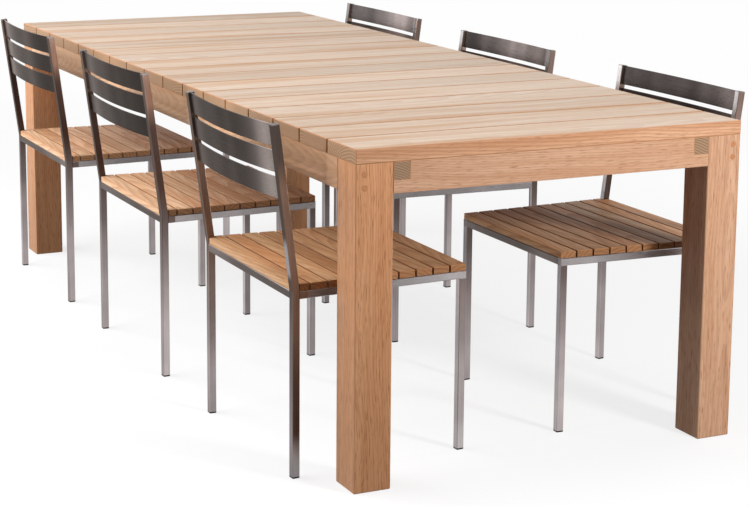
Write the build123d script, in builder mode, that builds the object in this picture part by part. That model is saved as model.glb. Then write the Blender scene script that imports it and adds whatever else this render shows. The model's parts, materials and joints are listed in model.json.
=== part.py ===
from build123d import *
import os
from math import atan, cos, degrees, hypot, radians, sin, tan

# Patio dining set: a teak plank table and six chairs of steel tube with teak seats.
# Millimetres, Z up, Y along the table. The origin is on the floor under the table's middle.

# Table
table_length = 2600.0
table_width = 1000.0
table_height = 770.0
plank_count = 17
plank_thickness = 33.0
plank_gap = 5.0
leg_width = 90.0
leg_depth = 95.0
rail_height = 70.0
rail_thickness = 41.0
bearer_side = 41.0
wood_edge = 2.0
leg_height = table_height - plank_thickness
bearer_x = table_width / 2 - leg_width - bearer_side / 2

# Joints of the table frame: stub tenons on the end rails, dowels into the side rails
tenon_length = 55.0
tenon_thickness = 20.0
tenon_height = 22.0
tenon_lift = 3.0
dowel_diameter = 13.0
dowel_length = 150.0
dowel_clearance = 0.1
dowel_drops = (23.0, 53.0)
dowel_x = table_width / 2 - rail_thickness / 2

# Chair frame of square tube
tube_side = 18.0
tube_wall = 1.5
tube_corner = 1.2
tube_bore = tube_side - 2 * tube_wall
leg_spacing = 430.0
rear_leg_spacing = 517.0
front_leg_spacing = 472.0
seat_height = 448.0
back_height = 811.0
back_lean = 7.5
cap_thickness = 2.0
glide_height = 4.0
glide_edge = 1.2
plug_depth = 12.0
plug_clearance = 0.1

# Chair seat and back
seat_slat_count = 10
seat_slat_thickness = 16.0
seat_slat_gap = 4.4
seat_slat_inset = 1.0
seat_slat_edge = 2.0
upright_clearance = 1.5
back_slat_count = 3
back_slat_height = 50.0
back_slat_gap = 10.0
back_slat_thickness = 3.0
back_slat_bow = 16.0
back_slat_drop = 1.0

# Worked out from the chair's driving sizes
rail_top = seat_height - seat_slat_thickness
rear_half = rear_leg_spacing / 2
side_step = (rear_leg_spacing - front_leg_spacing) / 2
taper = degrees(atan(side_step / leg_spacing))
frame_length = hypot(leg_spacing, side_step)
cap_rise = tube_side / 2 * sin(radians(back_lean))
back_length = (back_height - rail_top - cap_rise) / cos(radians(back_lean))
upright_length = back_length - cap_thickness

# Each chair: where its rear legs' middle stands, and which way it faces along X
chair_places = {
    "front_left_chair": (-574.0, -885.0, 1),
    "middle_left_chair": (-574.0, -27.0, 1),
    "back_left_chair": (-574.0, 820.0, 1),
    "front_right_chair": (567.0, -873.0, -1),
    "middle_right_chair": (555.0, 0.0, -1),
    "back_right_chair": (574.0, 873.0, -1),
}


def save(shapes, node):
    """Write one node: a single piece, or a group of separate pieces."""
    piece = shapes[0] if len(shapes) == 1 else Compound(children=shapes)
    piece.label = node
    export_step(piece, f"parts/{node}.step")


# The table


def top_plank(y):
    """One plank across the table, with eased edges all round its top."""
    width = (table_length - (plank_count - 1) * plank_gap) / plank_count
    with BuildPart() as plank:
        with BuildSketch(Plane.XY.offset(leg_height)):
            with Locations((0, y)):
                Rectangle(table_width, width)
        extrude(amount=plank_thickness)
        chamfer(plank.edges().group_by(Axis.Z)[-1], wood_edge)
    return plank.part


def table_leg(side, end):
    """Square leg with a mortise for the end rail and two dowel holes; side and end are -1 or 1."""
    centre_x = side * (table_width - leg_width) / 2
    centre_y = end * (table_length - leg_depth) / 2
    with BuildPart() as leg:
        with BuildSketch():
            with Locations((centre_x, centre_y)):
                Rectangle(leg_width, leg_depth)
        extrude(amount=leg_height)
        chamfer(leg.edges().filter_by(Axis.Z), wood_edge)
        chamfer(leg.edges().group_by(Axis.Z)[0], wood_edge)
        mortise_base = leg_height - rail_height + tenon_lift
        with BuildSketch(Plane.XY.offset(mortise_base)):
            with Locations((side * (table_width / 2 - leg_width + tenon_length / 2),
                            end * (table_length - rail_thickness) / 2)):
                Rectangle(tenon_length, tenon_thickness)
        extrude(amount=tenon_height, mode=Mode.SUBTRACT)
        with BuildSketch(Plane.XZ.offset(-centre_y)):
            with Locations(*[(side * dowel_x, leg_height - drop) for drop in dowel_drops]):
                Circle(dowel_diameter / 2 + dowel_clearance)
        extrude(amount=leg_depth / 2, both=True, mode=Mode.SUBTRACT)
    return leg.part


def end_rail(end):
    """Rail between two legs, with stub tenons and a notch at each end for a bearer."""
    length = table_width - 2 * leg_width
    centre_y = end * (table_length - rail_thickness) / 2
    base = leg_height - rail_height
    with BuildPart() as rail:
        with BuildSketch(Plane.XY.offset(base)):
            with Locations((0, centre_y)):
                Rectangle(length, rail_thickness)
        extrude(amount=rail_height)
        with BuildSketch(Plane.XY.offset(leg_height)):
            with Locations((-bearer_x, centre_y), (bearer_x, centre_y)):
                Rectangle(bearer_side, rail_thickness)
        extrude(amount=-bearer_side, mode=Mode.SUBTRACT)
        with BuildSketch(Plane.XY.offset(base + tenon_lift)):
            with Locations((0, centre_y)):
                Rectangle(length + 2 * tenon_length, tenon_thickness)
        extrude(amount=tenon_height)
    return rail.part


def side_rail(side):
    """Long rail under the plank ends, drilled at both ends for the dowels."""
    length = table_length - 2 * leg_depth
    with BuildPart() as rail:
        with BuildSketch(Plane.XY.offset(leg_height - rail_height)):
            with Locations((side * dowel_x, 0)):
                Rectangle(rail_thickness, length)
        extrude(amount=rail_height)
        depth = dowel_length - leg_depth
        for end in (-1, 1):
            with BuildSketch(Plane.XZ.offset(-end * length / 2)):
                with Locations(*[(side * dowel_x, leg_height - drop) for drop in dowel_drops]):
                    Circle(dowel_diameter / 2 + dowel_clearance)
            extrude(amount=end * depth, mode=Mode.SUBTRACT)
    return rail.part


def bearer(side):
    """Long square bar under all planks, its ends flush in the end rails."""
    with BuildPart() as bar:
        with BuildSketch(Plane.XY.offset(leg_height - bearer_side)):
            with Locations((side * bearer_x, 0)):
                Rectangle(bearer_side, table_length)
        extrude(amount=bearer_side)
    return bar.part


def leg_dowel(side, end, drop):
    """Round peg driven from the leg's end face through into the side rail."""
    with BuildPart() as dowel:
        with BuildSketch(Plane.XZ.offset(-end * table_length / 2)):
            with Locations((side * dowel_x, leg_height - drop)):
                Circle(dowel_diameter / 2)
        extrude(amount=end * dowel_length)
    return dowel.part


# The chair

with BuildSketch() as tube_outline:
    Rectangle(tube_side, tube_side)
    chamfer(tube_outline.vertices(), tube_corner)
with BuildSketch() as tube_section:
    add(tube_outline.sketch)
    Rectangle(tube_bore, tube_bore, mode=Mode.SUBTRACT)


def square_tube(start, length, cuts=()):
    """Tube up the local Z of a location, kept on the upper side of each cutting plane."""
    with BuildPart() as tube:
        with BuildSketch(Plane(start)):
            add(tube_section.sketch)
        extrude(amount=length)
        for cut in cuts:
            split(bisect_by=Plane(cut), keep=Keep.TOP)
    return tube.part


def side_frame(frame):
    """Front leg, side rail, rear leg and upright of one side, each tube cut to its neighbour."""
    rail_axis = rail_top - tube_side / 2
    rear_leg = square_tube(
        frame * Location((0, 0, glide_height)),
        rail_top,
        [frame * Location((0, 0, rail_top), (0, 180 - back_lean / 2, 0))],
    )
    upright = square_tube(
        frame * Location((0, 0, rail_top), (0, -back_lean, 0)) * Location((0, 0, -tube_side)),
        upright_length + tube_side,
        [frame * Location((0, 0, rail_top), (0, -back_lean / 2, 0))],
    )
    front_leg = square_tube(
        frame * Location((frame_length, 0, glide_height)),
        rail_top - glide_height,
        [frame * Location((frame_length, 0, rail_axis), (0, 135, 0))],
    )
    side_bar = square_tube(
        frame * Location((tube_side / 2, 0, rail_axis), (0, 90, 0)),
        frame_length,
        [frame * Location((frame_length, 0, rail_axis), (0, -45, 0))],
    )
    return [rear_leg, upright, front_leg, side_bar]


def cross_rail(chair, x, inner_faces):
    """Tube from one side frame to the other, its ends cut to the frames' inner faces."""
    start = chair * Location((x, rear_half, rail_top - tube_side / 2), (90, 0, 0))
    return square_tube(start, rear_leg_spacing, inner_faces)


def back_slat(chair, rise, inner_faces):
    """Curved flat bar between the uprights, bowed away from the sitter."""
    start = chair * Location((0, 0, rail_top), (0, -back_lean, 0)) * Location((0, 0, rise))
    half = back_slat_thickness / 2
    with BuildPart() as slat:
        with BuildSketch(Plane(start)):
            with BuildLine():
                front = ThreePointArc((half, -rear_half), (half - back_slat_bow, 0), (half, rear_half))
                rear = ThreePointArc((-half, rear_half), (-half - back_slat_bow, 0), (-half, -rear_half))
                Line(front @ 1, rear @ 0)
                Line(rear @ 1, front @ 0)
            make_face()
        extrude(amount=back_slat_height)
        for cut in inner_faces:
            split(bisect_by=Plane(cut), keep=Keep.TOP)
    return slat.part


def seat_slat(chair, x_rear, x_front, notched):
    """Teak slat across the seat, its ends following the side frames."""
    def reach(x):
        outer = rear_half + tube_side / 2 / cos(radians(taper))
        return outer - x * tan(radians(taper)) - seat_slat_inset

    with BuildPart() as slat:
        with BuildSketch(Plane(chair * Location((0, 0, rail_top)))):
            with BuildLine():
                Polyline(
                    (x_rear, -reach(x_rear)),
                    (x_front, -reach(x_front)),
                    (x_front, reach(x_front)),
                    (x_rear, reach(x_rear)),
                    close=True,
                )
            make_face()
            if notched:
                notch = tube_side + 2 * upright_clearance
                with Locations((0, -rear_half), (0, rear_half)):
                    Rectangle(notch, notch, mode=Mode.SUBTRACT)
        extrude(amount=seat_slat_thickness)
        chamfer(slat.edges().group_by(Axis.Z)[-1], seat_slat_edge)
    return slat.part


def seat_slats(chair):
    """All slats of one seat, from the rear rail's back face to the front rail's front face."""
    rear_edge = seat_slat_inset - tube_side / 2
    seat_depth = leg_spacing + tube_side / 2 - rear_edge
    pitch = (seat_depth + seat_slat_gap) / seat_slat_count
    slats = []
    for index in range(seat_slat_count):
        x_rear = rear_edge + index * pitch
        slats.append(seat_slat(chair, x_rear, x_rear + pitch - seat_slat_gap, notched=index == 0))
    return slats


def foot_glide(foot):
    """Plastic foot under a leg, with a square plug up the tube."""
    with BuildPart() as glide:
        with BuildSketch(Plane(foot)):
            add(tube_outline.sketch)
        extrude(amount=glide_height)
        chamfer(glide.edges().group_by(Axis.Z)[0], glide_edge)
        with BuildSketch(Plane(foot * Location((0, 0, glide_height)))):
            Rectangle(tube_bore - 2 * plug_clearance, tube_bore - 2 * plug_clearance)
        extrude(amount=plug_depth)
    return glide.part


def upright_cap(frame):
    """Small plate that closes the top of an upright."""
    top = frame * Location((0, 0, rail_top), (0, -back_lean, 0)) * Location((0, 0, upright_length))
    with BuildPart() as cap:
        with BuildSketch(Plane(top)):
            add(tube_outline.sketch)
        extrude(amount=cap_thickness)
    return cap.part


def build_chair(name, x, y, facing):
    """All nodes of one chair; its local X points the way that the sitter looks."""
    chair = Location((x, y, 0), (0, 0, 0 if facing > 0 else 180))
    left = chair * Location((0, rear_half, 0), (0, 0, -taper))
    right = chair * Location((0, -rear_half, 0), (0, 0, taper))
    inner_faces = [
        left * Location((0, -tube_side / 2, 0), (90, 0, 0)),
        right * Location((0, tube_side / 2, 0), (-90, 0, 0)),
    ]
    save(side_frame(left), f"{name}_left_side_frame")
    save(side_frame(right), f"{name}_right_side_frame")
    save([cross_rail(chair, 0, inner_faces)], f"{name}_rear_rail")
    save([cross_rail(chair, leg_spacing, inner_faces)], f"{name}_front_rail")
    save(seat_slats(chair), f"{name}_seat_slats")
    step = back_slat_height + back_slat_gap
    top_rise = back_length - back_slat_drop - back_slat_height
    slats = [back_slat(chair, top_rise - i * step, inner_faces) for i in range(back_slat_count)]
    save(slats, f"{name}_back_slats")
    feet = [side * Location((run, 0, 0)) for side in (left, right) for run in (0, frame_length)]
    save([foot_glide(foot) for foot in feet], f"{name}_foot_glides")
    save([upright_cap(left), upright_cap(right)], f"{name}_upright_caps")


os.makedirs("parts", exist_ok=True)

side_names = {-1: "left", 1: "right"}
end_names = {-1: "front", 1: "back"}
plank_pitch = (table_length + plank_gap) / plank_count
first_plank_y = -(plank_count - 1) * plank_pitch / 2
save([top_plank(first_plank_y + i * plank_pitch) for i in range(plank_count)], "table_planks")
save([bearer(side) for side in side_names], "table_bearers")
dowel_spots = [(side, end, drop) for side in side_names for end in end_names for drop in dowel_drops]
save([leg_dowel(*spot) for spot in dowel_spots], "table_leg_dowels")
for side, side_name in side_names.items():
    save([side_rail(side)], f"table_{side_name}_side_rail")
    for end, end_name in end_names.items():
        save([table_leg(side, end)], f"table_{end_name}_{side_name}_leg")
for end, end_name in end_names.items():
    save([end_rail(end)], f"table_{end_name}_end_rail")
for chair_name, place in chair_places.items():
    build_chair(chair_name, *place)
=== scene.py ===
# %% [markdown]
# # A teak dining table with six steel and teak chairs
# The shapes come from the CAD model as a fixed frame: one body for the table and one for each chair.
# This lesson dresses that frame. Timber is rebuilt board by board, so that every board can have its
# own grain, and the steel tubes keep their CAD shape and get a brushed finish. Lengths are in metres.

# %% Load the frame
import bpy
import bmesh
import json
import math
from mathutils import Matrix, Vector

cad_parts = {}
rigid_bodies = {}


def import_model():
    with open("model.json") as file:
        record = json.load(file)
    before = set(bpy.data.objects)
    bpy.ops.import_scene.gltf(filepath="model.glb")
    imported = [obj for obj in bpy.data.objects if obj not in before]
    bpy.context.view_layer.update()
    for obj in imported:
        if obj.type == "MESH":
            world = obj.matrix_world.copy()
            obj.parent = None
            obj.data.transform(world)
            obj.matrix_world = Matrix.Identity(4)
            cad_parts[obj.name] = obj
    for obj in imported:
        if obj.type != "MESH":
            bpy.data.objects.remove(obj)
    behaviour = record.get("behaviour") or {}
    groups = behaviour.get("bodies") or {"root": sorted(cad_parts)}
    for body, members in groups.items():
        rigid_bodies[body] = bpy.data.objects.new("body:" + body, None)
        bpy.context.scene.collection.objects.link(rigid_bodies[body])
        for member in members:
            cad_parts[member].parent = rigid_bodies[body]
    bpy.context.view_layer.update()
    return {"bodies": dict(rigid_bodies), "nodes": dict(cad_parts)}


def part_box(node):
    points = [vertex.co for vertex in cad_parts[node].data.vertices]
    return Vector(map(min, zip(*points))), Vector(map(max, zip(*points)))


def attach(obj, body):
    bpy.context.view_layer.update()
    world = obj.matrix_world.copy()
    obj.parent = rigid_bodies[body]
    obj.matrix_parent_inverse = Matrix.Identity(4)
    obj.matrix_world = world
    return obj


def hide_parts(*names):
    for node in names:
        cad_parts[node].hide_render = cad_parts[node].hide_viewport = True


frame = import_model()
scene = bpy.context.scene
chairs = [body for body in frame["bodies"] if body.endswith("_chair")]

# %% [markdown]
# ## Three helpers
# Colours are written as sRGB hex values, the way a paint program shows them, and Blender wants them
# linear. Node trees are long to write by hand, so one function adds a node, sets its options and
# fills its sockets with values or with links from earlier nodes. Every material starts empty.

# %% Colour, node and material helpers


def linear(hex_code):
    """An sRGB hex colour as linear RGBA."""
    parts = [int(hex_code[i:i + 2], 16) / 255 for i in (1, 3, 5)]
    return [v / 12.92 if v <= 0.04045 else ((v + 0.055) / 1.055) ** 2.4 for v in parts] + [1.0]


def add(tree, kind, inputs=(), **settings):
    """Add a node to a tree, with its options and with its inputs, in order or by name.

    An input is a value, a socket, or a node whose first output is used.
    """
    node = tree.nodes.new(kind)
    for name, value in settings.items():
        setattr(node, name, value)
    for name, value in inputs.items() if isinstance(inputs, dict) else enumerate(inputs):
        socket = node.inputs[name] if isinstance(name, int) else next(
            s for s in node.inputs if s.enabled and s.name == name)
        if isinstance(value, bpy.types.Node):
            value = next(s for s in value.outputs if s.enabled)
        if isinstance(value, bpy.types.NodeSocket):
            tree.links.new(value, socket)
        else:
            socket.default_value = value
    return node


def new_material(name):
    """An empty node material; returns it with its tree."""
    material = bpy.data.materials.new(name)
    material.use_nodes = True
    material.node_tree.nodes.clear()
    return material, material.node_tree


print("teak mid tone, linear:", [round(v, 3) for v in linear("#C99872")])

# %% [markdown]
# ## The camera
# The set is seen from a standing person's height, from its front left corner, through a long lens.
# The place, the turn and the focal length were worked out from the table's own straight edges: a
# table of known size is a good ruler. A small downward shift keeps the legs more upright.

# %% Camera
image_width_px, focal_px = 748, 1916.0
look_down, roll, heading = 10.10, -0.47, -25.71
camera_data = bpy.data.cameras.new("photo_camera")
camera_data.sensor_width = 36.0
camera_data.lens = focal_px / image_width_px * camera_data.sensor_width
camera_data.shift_y = -0.140
camera_data.clip_end = 200.0
camera = bpy.data.objects.new("photo_camera", camera_data)
camera.location = (-2.209, -4.924, 1.487)
camera.rotation_euler = (math.radians(90 - look_down), math.radians(roll), math.radians(heading))
scene.collection.objects.link(camera)
scene.camera = camera
print("lens %.1f mm" % camera_data.lens)

# %% [markdown]
# ## White paper and a white dome
# A studio surrounds a product with white paper. Here the paper is a large floor and the dome is the
# world. Both are white to the camera and in reflections. For the light that they cast back they are
# darker, like a paper that ends just outside the picture: Light Path tells these rays apart. Close to
# the set the paper glows a little less, so that it can show a soft shadow.

# %% Floor
scene.view_settings.view_transform = "Standard"
floor_half = 60
# How much of the paper's white is glow, within 1.5 m of the set's middle and from 5 m on
near_glow, far_glow = 0.78, 0.985


def seen_rays(tree):
    """1 for rays from the camera, a reflection or a clear material, and 0 for a surface's light."""
    ray = add(tree, "ShaderNodeLightPath").outputs
    shown = add(tree, "ShaderNodeMath", [ray["Is Camera Ray"], ray["Is Glossy Ray"]], operation="MAXIMUM")
    return add(tree, "ShaderNodeMath", [shown, ray["Is Transmission Ray"]], operation="MAXIMUM")


floor_mesh = bpy.data.meshes.new("studio_floor")
corners = [(x * floor_half, y * floor_half, 0) for x, y in ((-1, -1), (1, -1), (1, 1), (-1, 1))]
floor_mesh.from_pydata(corners, [], [(0, 1, 2, 3)])
floor = bpy.data.objects.new("studio_floor", floor_mesh)
scene.collection.objects.link(floor)

paper, tree = new_material("white_studio_paper")
seen = seen_rays(tree)
shade = add(tree, "ShaderNodeMix", {"Factor": seen, "A": linear("#585858"), "B": linear("#FFFFFF")},
            data_type="RGBA")
matte = add(tree, "ShaderNodeBsdfDiffuse", {"Color": shade})
glow = add(tree, "ShaderNodeEmission", {"Color": (1, 1, 1, 1), "Strength": 1.0})
spot = add(tree, "ShaderNodeTexCoord").outputs["Object"]
distance = add(tree, "ShaderNodeVectorMath", [spot], operation="LENGTH").outputs["Value"]
backlit = add(tree, "ShaderNodeMapRange", {"Value": distance, "From Min": 1.5, "From Max": 5.0,
                                           "To Min": near_glow, "To Max": far_glow})
part_glow = add(tree, "ShaderNodeMath", [seen, backlit], operation="MULTIPLY")
mixed = add(tree, "ShaderNodeMixShader", [part_glow, matte, glow])
add(tree, "ShaderNodeOutputMaterial", {"Surface": mixed})
floor_mesh.materials.append(paper)
print("paper floor of", 2 * floor_half, "m")

# %% World
dome_light = 0.23  # how strongly the dome lights the set
world = bpy.data.worlds.new("white_studio")
world.use_nodes = True
tree = world.node_tree
tree.nodes.clear()
level = add(tree, "ShaderNodeMapRange", {"Value": seen_rays(tree), "To Min": dome_light, "To Max": 1.0})
dome = add(tree, "ShaderNodeBackground", {"Color": (1, 1, 1, 1), "Strength": level})
add(tree, "ShaderNodeOutputWorld", {"Surface": dome})
scene.world = world
print("dome of", len(tree.nodes), "nodes")

# %% [markdown]
# ## The softboxes
# Six area lamps stand round the set: a small key in front of the table's end, a small fill at the
# left front, wide fills at the left, at the back left and low at the right, and a large one overhead.
# Near lamps fall off with distance, so the legs get darker towards the floor, as they do in a real
# studio. Six lamps of one kind are a table of values and a loop, which is easy to tune.

# %% Softboxes
# Place, the point that it looks at, width and height, watts, colour
softboxes = {
    "front_key": ((0.95, -3.4, 1.5), (0.05, -1.2, 0.5), (0.4, 0.4), 57, "#FFFFFF"),
    "left_front_fill": ((-4.0, -1.3, 0.95), (-0.4, 0.6, 0.4), (0.25, 0.25), 27, "#F2F5FF"),
    "left_fill": ((-3.4, 0.4, 2.8), (-0.5, 0.2, 0.5), (2.6, 2.2), 100, "#FFFFFF"),
    "back_left_fill": ((-3.2, 2.8, 2.3), (-0.5, 0.1, 0.5), (2.2, 2.0), 100, "#FFFFFF"),
    "low_right_fill": ((3.8, 0.3, 0.6), (0.4, 0.0, 0.4), (2.4, 0.9), 45, "#FFFFFF"),
    "overhead": ((-0.2, 0.0, 3.8), (-0.1, 0.0, 0.0), (2.6, 2.6), 26, "#FFFFFF"),
}
for name, (place, aim, size, watts, colour) in softboxes.items():
    data = bpy.data.lights.new(name, "AREA")
    data.shape = "RECTANGLE"
    data.size, data.size_y = size
    data.energy = watts
    data.color = linear(colour)[:3]
    lamp = bpy.data.objects.new(name, data)
    lamp.location = place
    lamp.rotation_euler = (Vector(aim) - Vector(place)).to_track_quat("-Z", "Y").to_euler()
    scene.collection.objects.link(lamp)
print("studio has", len(bpy.data.lights), "softboxes")

# %% [markdown]
# ## Timber grain, stored on the mesh
# A board is cut from a trunk, so its figure is a slice through growth rings around the trunk's pith.
# One Geometry Nodes tree prepares this for every wooden piece: it finds each separate board (a mesh
# island), measures from the board's middle along, across and into the board, and shifts the result
# by a random pith offset. The shader then only has to draw rings around an axis, and the figure
# stays on the board when its body moves.

# %% Tree with named inputs


def new_tree(name, inputs):
    """An empty Geometry Nodes tree; returns it with its named inputs and its end node."""
    tree = bpy.data.node_groups.new(name, "GeometryNodeTree")
    tree.interface.new_socket("Geometry", in_out="INPUT", socket_type="NodeSocketGeometry")
    for label, kind in inputs.items():
        tree.interface.new_socket(label, in_out="INPUT", socket_type="NodeSocket" + kind)
    tree.interface.new_socket("Geometry", in_out="OUTPUT", socket_type="NodeSocketGeometry")
    return tree, add(tree, "NodeGroupInput").outputs, add(tree, "NodeGroupOutput")


grain_tree, given, end = new_tree("timber_grain", {
    "Along": "Vector", "Across": "Vector", "Into": "Vector", "Pith Min": "Vector", "Pith Max": "Vector",
    "Seed": "Int", "Timber": "Material", "Top Timber": "Material"})
print("grain tree takes", len(given) - 2, "values and a mesh")

# %% Place on the board
tone_seed_step = 101.0
board_axes = {axis: given[axis] for axis in ("Along", "Across", "Into")}


def measured(vector, axis):
    """How far a vector reaches in one of the board's directions."""
    return add(grain_tree, "ShaderNodeVectorMath", [vector, board_axes[axis]],
               operation="DOT_PRODUCT").outputs["Value"]


place = add(grain_tree, "GeometryNodeInputPosition")
board = add(grain_tree, "GeometryNodeInputMeshIsland").outputs["Island Index"]
total = add(grain_tree, "GeometryNodeAccumulateField", {"Value": place, "Group ID": board},
            data_type="FLOAT_VECTOR").outputs["Total"]
count = add(grain_tree, "GeometryNodeAccumulateField", {"Value": 1.0, "Group ID": board},
            data_type="FLOAT").outputs["Total"]
middle = add(grain_tree, "ShaderNodeVectorMath", [total, count], operation="DIVIDE")
local = add(grain_tree, "ShaderNodeVectorMath", [place, middle], operation="SUBTRACT")
in_board = add(grain_tree, "ShaderNodeCombineXYZ", {
    "X": measured(local, "Along"), "Y": measured(local, "Across"), "Z": measured(local, "Into")})
pith = add(grain_tree, "FunctionNodeRandomValue",
           {"Min": given["Pith Min"], "Max": given["Pith Max"], "ID": board,
            "Seed": given["Seed"]}, data_type="FLOAT_VECTOR")
grain = add(grain_tree, "ShaderNodeVectorMath", [in_board, pith], operation="ADD")
tone_seed = add(grain_tree, "ShaderNodeMath", [given["Seed"], tone_seed_step], operation="ADD")
tone = add(grain_tree, "FunctionNodeRandomValue", {"ID": board, "Seed": tone_seed}, data_type="FLOAT")
print("grain tree has", len(grain_tree.nodes), "nodes so far")

# %% [markdown]
# ## Marks on the faces of a board
# Some faces look different from the long ones: those that cut across the fibres show the rings end
# on, the narrow eased faces along the arrises get a darker line of painted shade, and the faces inside a
# gap between two boards get painted shade too. All three can be told from the way that a face looks and
# from its place in the row, so the tree stores a mark for each, and the shader needs no hand-picked faces.

# %% Cut, eased and upper faces
# How straight along an axis a face looks, from 0 to 1, if it is cut, upper, sideways or not eased
cut_look, upper_look, side_look, flat_look = 0.8, 0.9, 0.9, 0.98
normal = add(grain_tree, "GeometryNodeInputNormal")
lengthways = add(grain_tree, "ShaderNodeMath", [measured(normal, "Along")], operation="ABSOLUTE")
cross_cut = add(grain_tree, "ShaderNodeMath", [lengthways, cut_look], operation="GREATER_THAN")
tilt = add(grain_tree, "ShaderNodeVectorMath", [normal], operation="ABSOLUTE")
tilt = add(grain_tree, "ShaderNodeSeparateXYZ", [tilt]).outputs
flattest = add(grain_tree, "ShaderNodeMath", [tilt["X"], tilt["Y"]], operation="MAXIMUM")
flattest = add(grain_tree, "ShaderNodeMath", [flattest, tilt["Z"]], operation="MAXIMUM")
eased = add(grain_tree, "ShaderNodeMath", [flattest, flat_look], operation="LESS_THAN")
upward = add(grain_tree, "ShaderNodeSeparateXYZ", [normal]).outputs["Z"]
upward = add(grain_tree, "FunctionNodeCompare", {"A": upward, "B": upper_look}, data_type="FLOAT",
             operation="GREATER_THAN")
print("grain tree has", len(grain_tree.nodes), "nodes so far")

# %% Faces in a gap
# Painted shade: faces in a gap between boards are drawn darker
# Such a face looks sideways, and isn't on the outside of the row of boards
geometry = given["Geometry"]
outer_margin = 0.005
on_row = measured(place, "Across")
row = add(grain_tree, "GeometryNodeAttributeStatistic", {"Geometry": geometry, "Attribute": on_row},
          data_type="FLOAT", domain="POINT").outputs
row_middle = add(grain_tree, "ShaderNodeMath", [row["Min"], row["Max"]], operation="ADD")
row_middle = add(grain_tree, "ShaderNodeMath", [row_middle, 0.5], operation="MULTIPLY")
row_reach = add(grain_tree, "ShaderNodeMath", [row["Range"], 0.5, -outer_margin],
                operation="MULTIPLY_ADD")
inside = add(grain_tree, "ShaderNodeMath", [on_row, row_middle, row_reach], operation="COMPARE")
sideways = add(grain_tree, "ShaderNodeMath", [measured(normal, "Across")], operation="ABSOLUTE")
sideways = add(grain_tree, "ShaderNodeMath", [sideways, side_look], operation="GREATER_THAN")
painted_gap_shade = add(grain_tree, "ShaderNodeMath", [sideways, inside], operation="MULTIPLY")
print("grain tree has", len(grain_tree.nodes), "nodes so far")

# %% Store the grain
for label, kind, domain, value in (
        ("grain", "FLOAT_VECTOR", "POINT", grain), ("board_tone", "FLOAT", "POINT", tone),
        ("end_grain", "FLOAT", "FACE", cross_cut), ("arris", "FLOAT", "FACE", eased),
        ("gap", "FLOAT", "FACE", painted_gap_shade)):
    geometry = add(grain_tree, "GeometryNodeStoreNamedAttribute",
                   {"Geometry": geometry, "Name": label, "Value": value},
                   data_type=kind, domain=domain)
realized = add(grain_tree, "GeometryNodeRealizeInstances", {"Geometry": geometry})
timbered = add(grain_tree, "GeometryNodeSetMaterial", {"Geometry": realized, "Material": given["Timber"]})
# Upward faces get the top finish, which on the table carries a painted sheen
timbered = add(grain_tree, "GeometryNodeSetMaterial",
               {"Geometry": timbered, "Selection": upward, "Material": given["Top Timber"]})
grain_tree.links.new(timbered.outputs[0], end.inputs[0])
print("grain tree has", len(grain_tree.nodes), "nodes")

# %% [markdown]
# ## Growth rings
# Each year a trunk adds a ring that is pale at first and darker late in the year. A saw cuts straight
# through a trunk that is never quite straight, and this gives boards their lines and arches. The
# shader bends the stored grain coordinates a little and takes the distance from the pith: the part
# after the decimal point, counted in rings, tells early wood from late wood.

# %% Rings of the trunk
# How often a pattern repeats in a metre along the board, across it and into it
bend_lines = (1.6, 7.0, 7.0)
# A noise value strays from its middle by 0.3, so the trunk bends by up to 15 mm
bend_reach = (0.0, 0.05, 0.05)


def growth_rings(tree, grain, ring_mm, taper):
    """The late wood, from 0 to 1, and the grain coordinates bent as the trunk was."""
    slow = add(tree, "ShaderNodeVectorMath", [grain, bend_lines], operation="MULTIPLY")
    bend = add(tree, "ShaderNodeTexNoise", {"Vector": slow, "Scale": 1.0, "Detail": 2.0})
    bend = add(tree, "ShaderNodeVectorMath", [bend.outputs["Color"], (0.5, 0.5, 0.5)],
               operation="SUBTRACT")
    bend = add(tree, "ShaderNodeVectorMath", [bend, bend_reach], operation="MULTIPLY")
    bent = add(tree, "ShaderNodeVectorMath", [grain, bend], operation="ADD")
    flat = add(tree, "ShaderNodeVectorMath", [bent, (0.0, 1.0, 1.0)], operation="MULTIPLY")
    radius = add(tree, "ShaderNodeVectorMath", [flat], operation="LENGTH").outputs["Value"]
    # A trunk narrows upwards, which draws the rings out into long arches on a flat board
    along = add(tree, "ShaderNodeSeparateXYZ", [grain]).outputs["X"]
    radius = add(tree, "ShaderNodeMath", [along, taper, radius], operation="MULTIPLY_ADD")
    rings = add(tree, "ShaderNodeMath", [radius, 1000.0 / ring_mm], operation="MULTIPLY")
    turn = add(tree, "ShaderNodeMath", [rings], operation="FRACT")
    late_wood = add(tree, "ShaderNodeMapRange", {"Value": turn, "From Min": 0.25, "From Max": 0.95},
                    interpolation_type="SMOOTHSTEP")
    return late_wood, bent


print("trunks bend over %.1f m" % (1 / bend_lines[0]))

# %% [markdown]
# ## Streaks, pores and heartwood
# Teak has broad tonal streaks, short open pores that show as single dark dashes, and bands of darker
# heartwood. All three are noise that is stretched along the fibres; they differ in size and in how
# sharply the noise is cut. The pores use the straight coordinates and lie in line with the board.

# %% Marks of the wood
# How often a mark repeats in a metre along, across and into the board, the noise's detail and
# roughness, and where the noise is cut
wood_marks = {
    # About 14 mm wide and half a metre long
    "streaks": ((1.8, 70.0, 70.0), 5.0, 0.6, 0.30, 0.70, "SMOOTHSTEP"),
    # On teak 0.3 mm wide; drawn 1.5 mm wide and 36 mm long so that they show
    "pores": ((28.0, 650.0, 650.0), 2.0, 0.5, 0.56, 0.70, "LINEAR"),
    # About 80 mm wide, along a whole board
    "heartwood": ((0.7, 12.0, 12.0), 1.0, 0.5, 0.48, 0.66, "SMOOTHSTEP"),
}


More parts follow.
